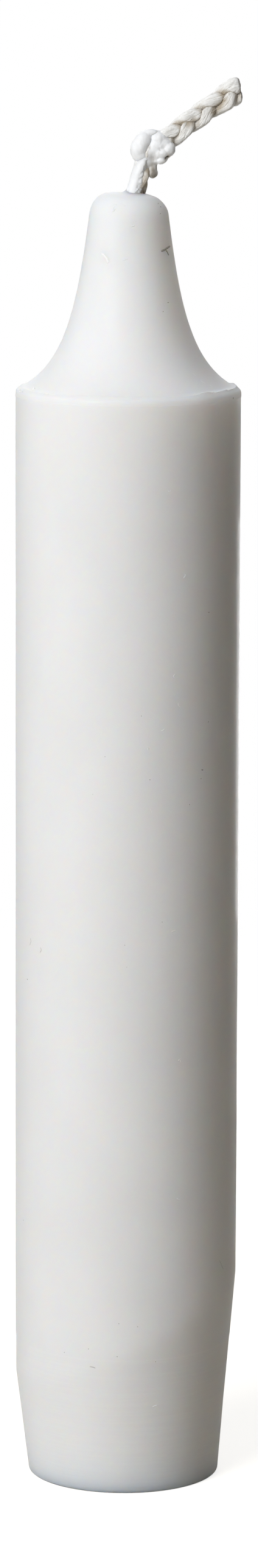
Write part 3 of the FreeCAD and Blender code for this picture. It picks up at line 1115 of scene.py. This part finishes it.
# %% Curls of wax, and painted glints on the nose
curls = [
    (0.38, 125.7), (-0.67, 122.26), (-1.27, 127.29), (3.75, 100.57), (5.5, 92.42), (4.77, 82.52),
    (5.09, 79.21), (3.14, 77.11), (2.14, 75.17), (2.46, 68.86), (4.29, 56.99), (5.25, 43.93),
    (5.01, 30.46), (3.17, 9.37),
]
curl_and_glint_tubes = [
    stroke([(6.2, 111.4), (6.45, 111.2), (6.62, 111.1)], 0.022, 0.004, 0.04),
    stroke([(7.02, 110.72), (7.4, 110.45), (7.62, 110.34)], 0.024, 0.004, 0.04),
    stroke([(7.85, 110.2), (8.02, 110.1), (8.11, 109.98)], 0.03, 0.004, 0.03),
    stroke([(-2.74, 122.76), (-2.44, 122.66), (-2.14, 122.33), (-1.96, 121.87)], 0.17, 0.06, 0.03),
]
for x, z in curls:
    bend = np.cumsum(dice.normal(0, 0.8, 5)) + dice.uniform(0, 2 * math.pi)
    stops = np.cumsum(0.12 * np.stack([np.cos(bend), np.sin(bend)], -1), 0)
    curl_and_glint_tubes.append(stroke(np.array([x, z]) + stops, 0.045, 0.0, 0.01, 30))
# White flecks on the nose are painted glints.
GLINTS_ON_NOSE = 22
for glint in range(GLINTS_ON_NOSE):
    x, z = dice.uniform(-2.0, -0.4), dice.uniform(127.0, 127.7)
    if glint % 3 == 0:
        x, z = dice.uniform(0.0, 0.6), dice.uniform(125.5, 126.5)
    ends = short_ends(x, z, dice.uniform(0, math.pi), dice.uniform(0.02, 0.05))
    curl_and_glint_tubes.append(stroke(ends, dice.uniform(0.03, 0.06), 0.005, 0.01))
print(len(curls), "curls and", GLINTS_ON_NOSE, "flecks")

# %% [markdown]
# The crest of the lip at the shoulder is torn into short runs and crumbs, more of them on the wick's
# side. A ray from above finds the lip, and each run follows it for a few degrees. They share the white
# finish of the curls, which is partly the scraped wax's own white and partly a painted highlight.

# %% Torn crest of the lip
CREST_RUNS = 46
run_sunk = 0.006
# angle to the right of the front in degrees, inset, size
lip_lumps = [
    (42.0, 0.55, 0.04), (44.0, 0.45, 0.06), (45.5, 0.6, 0.05), (49.3, 0.62, 0.06),
    (50.2, 0.5, 0.08), (52.0, 0.4, 0.05), (56.5, 0.62, 0.07), (57.6, 0.5, 0.05),
    (61.0, 0.5, 0.04), (68.0, 0.5, 0.04), (76.0, 0.5, 0.05), (83.0, 0.45, 0.06),
    (-64.5, 0.9, 0.13), (-66.5, 1.1, 0.08), (-71.0, 0.2, 0.1), (-74.0, 0.12, 0.13),
    (-78.0, 0.25, 0.09),
]


def on_lip(angle, inset_mm):
    """The lip's surface at an angle to the right of the front, found by a ray from above."""
    across = (band_r - inset_mm) * math.sin(math.radians(angle))
    beside = -(band_r - inset_mm) * math.cos(math.radians(angle))
    start = Vector((across, beside, shoulder_z + 4)) * MM
    return np.array(body_tree.ray_cast(start, Vector((0, 0, -1)))[0]) / MM


for run in range(CREST_RUNS):
    first = dice.uniform(36, 90) if run % 6 else dice.uniform(-66, -46)
    angles = first + np.arange(0, dice.uniform(1.5, 7.0), 0.3)
    insets = crest_inset + dice.normal(0, 0.03) + 0.03 * soft_noise(np.outer(angles, (0.4, 0, 0)), 1.0, 112)
    path = np.array([on_lip(angle, inset_mm) for angle, inset_mm in zip(angles, insets)])
    thick = dice.uniform(0.014, 0.032) * np.clip(1 + 0.9 * soft_noise(path, 0.3, 110), 0.2, 2)
    curl_and_glint_tubes.append(tube_rings(path - (0, 0, run_sunk), thick, 7, 0.9))
for angle, inset_mm, size in lip_lumps:
    place = on_lip(angle, inset_mm)
    spread = np.linspace(-1, 1, 7)[:, None] * size * np.array([1.0, 0.4, 0.1]) * dice.uniform(0.6, 1.2, 3)
    round_ends = size * np.sqrt(1 - np.linspace(-0.95, 0.95, 7) ** 2) * dice.uniform(0.7, 1.1, 7)
    curl_and_glint_tubes.append(tube_rings(place + spread, round_ends, 10, 0.7))
wax_curls_and_glints = joined_tubes("wax_curls_and_glints", curl_and_glint_tubes, wax_curl_and_glint)
print(CREST_RUNS, "runs and", len(lip_lumps), "lumps along the lip")

# %% [markdown]
# The photograph's view: a long lens from a little over half a metre away, pointed slightly down.
# The camera's three directions are worked out from its pitch and a hair of roll.

# %% Camera
LENS_PIXELS = 9489
IMAGE_HEIGHT = 2576
pitch = math.radians(9.6)
camera_roll = math.radians(0.18)
camera_place = Vector((0.18, -564.4, 165.5)) * MM
forward = Vector((0, math.cos(pitch), -math.sin(pitch)))
level_right = Vector((1, 0, 0))
level_up = level_right.cross(forward)
right = level_right * math.cos(camera_roll) + level_up * math.sin(camera_roll)
up = right.cross(forward)

camera_data = bpy.data.cameras.new("camera")
camera_data.sensor_width = 36
camera_data.lens = camera_data.sensor_width * LENS_PIXELS / IMAGE_HEIGHT
camera_data.clip_start = 0.01
camera = added("camera", camera_data)
turned = Matrix((right, up, -forward)).transposed().to_4x4()
camera.matrix_world = Matrix.Translation(camera_place) @ turned
bpy.context.scene.camera = camera
print("lens", round(camera_data.lens, 2), "mm")

# %% [markdown]
# Two large soft lamps stand in front of the candle to its left, one high and one low, and a weak one
# hangs above it. The far side falls off into grey, which shows how round the wax is. A narrow soft
# spot lifts the wick, a small one fills the dark side of the crown, and a lamp behind lights only
# the back. A bright card stands low behind the candle, where only the polish of the wax finds it:
# along the dark edge, as a thin line of light.

# %% Lamps
subject = Vector((0, 0, 0.085))
on_wick = Vector((0.0065, 0, 0.136))
on_crown = Vector((0.004, 0, 0.1175))
# Watts that make a white card one metre away look fully white.
AREA_WATTS = math.pi ** 2
SPOT_WATTS = 4 * math.pi ** 2


def hung(name, lamp_data, target, azimuth_deg, height_deg, distance):
    """Hangs a lamp so that it faces its target. Azimuth 0 is in front, 90 to the right."""
    across = math.radians(azimuth_deg)
    above = math.radians(height_deg)
    direction = Vector((math.sin(across), -math.cos(across), 0)) * math.cos(above)
    direction.z = math.sin(above)
    lamp = added(name, lamp_data)
    lamp.location = target + direction * distance
    lamp.rotation_euler = direction.to_track_quat("Z", "Y").to_euler()
    return lamp


def soft_lamp(name, azimuth_deg, height_deg, distance, size, glow, colour=(1, 1, 1)):
    """An area lamp that faces the candle. Glow is how bright a white card there would look."""
    lamp_data = bpy.data.lights.new(name, "AREA")
    lamp_data.shape = "RECTANGLE"
    lamp_data.size = size[0]
    lamp_data.size_y = size[1]
    lamp_data.energy = glow * AREA_WATTS * distance ** 2
    lamp_data.color = colour
    lamp = hung(name, lamp_data, subject, azimuth_deg, height_deg, distance)
    lamp.visible_camera = False
    return lamp


def narrow_lamp(name, target, azimuth_deg, height_deg, distance, cone_deg, glow, radius):
    """A narrow lamp with a soft edge that faces one spot."""
    lamp_data = bpy.data.lights.new(name, "SPOT")
    lamp_data.spot_size = math.radians(cone_deg)
    lamp_data.spot_blend = 1.0
    lamp_data.shadow_soft_size = radius
    lamp_data.energy = glow * SPOT_WATTS * distance ** 2
    return hung(name, lamp_data, target, azimuth_deg, height_deg, distance)


cool = (0.958, 0.978, 1.0)
soft_lamp("high_lamp", -34, 35, 0.9, (0.36, 0.5), 0.495, cool)
soft_lamp("side_lamp", -46, 15, 0.9, (0.36, 0.5), 0.394, cool)
soft_lamp("top_lamp", 0, 82, 0.7, (0.3, 0.3), 0.2)
soft_lamp("back_lamp", 180, 25, 0.8, (0.5, 0.5), 0.22)
bright_card = soft_lamp("bright_card", 163, -10.5, 0.3, (0.13, 0.06), 0.13)
bright_card.visible_diffuse = False
narrow_lamp("wick_lamp", on_wick, -18, 22, 0.7, 2.6, 0.3, 0.12)
crown_lamp = narrow_lamp("crown_lamp", on_crown, 80, 30, 0.25, 7.4, 0.145, 0.008)
crown_lamp.visible_glossy = False
print(len(bpy.data.lights), "lamps, the crown's at", [round(value, 3) for value in crown_lamp.location])

# %% [markdown]
# The background is white only to the eye: camera, mirror and glass rays see white, and all other
# light finds a dim grey room. The floor is matt and keeps the candle's shadow. For the same rays it
# glows a little, and further out it turns wholly white, so no edge shows where the room begins.

# %% Room and floor
ROOM_GLOW = 0.01
FLOOR_GLOW = 0.8
room_grey = (1, 0.93, 0.8, 1)
floor_beige = (0.61, 0.57, 0.5, 1)
WHITE = (1, 1, 1, 1)


def seen_directly(finish):
    """1 for rays that show the background to the eye, in a mirror or through glass."""
    names = ("Is Camera Ray", "Is Glossy Ray", "Is Transmission Ray")
    rays = [finish.node("ShaderNodeLightPath", output=name) for name in names]
    return rays[0].at_least(rays[1]).at_least(rays[2])


def mix_shaders(finish, share, first, second):
    return finish.node("ShaderNodeMixShader", None, {0: share, 1: first, 2: second})


room = Finish(bpy.data.worlds.new("studio"))
dim = room.node("ShaderNodeBackground", None, {"Color": room_grey, "Strength": ROOM_GLOW})
bright = room.node("ShaderNodeBackground", None, {"Color": WHITE, "Strength": 1.0})
room.node("ShaderNodeOutputWorld", None, {"Surface": mix_shaders(room, seen_directly(room), dim, bright)})
bpy.context.scene.world = room.owner

pale = Finish(bpy.data.materials.new("pale_floor"))
distance = pale.node("ShaderNodeVectorMath", {"operation": "LENGTH"}, {0: pale.here()}, "Value")
matt = pale.node("ShaderNodeBsdfDiffuse", None, {"Color": floor_beige})
glow = pale.node("ShaderNodeEmission", None, {"Color": WHITE, "Strength": FLOOR_GLOW})
lit = pale.node("ShaderNodeAddShader", None, {0: matt, 1: glow})
blank = pale.node("ShaderNodeEmission", None, {"Color": WHITE, "Strength": 1.0})
looks_like = mix_shaders(pale, distance.ramp(0.05, 0.3), lit, blank)
floor_shader = mix_shaders(pale, seen_directly(pale), matt, looks_like)
pale.node("ShaderNodeOutputMaterial", None, {"Surface": floor_shader})

half_floor = 8.0
floor_mesh = bpy.data.meshes.new("floor")
floor_signs = ((-1, -1), (1, -1), (1, 1), (-1, 1))
floor_corners = [(half_floor * x, half_floor * y, 0) for x, y in floor_signs]
floor_mesh.from_pydata(floor_corners, [], [(0, 1, 2, 3)])
floor_mesh.materials.append(pale.owner)
floor = added("floor", floor_mesh)
bpy.context.scene.view_settings.view_transform = "Standard"
print("floor and room are white to the camera")
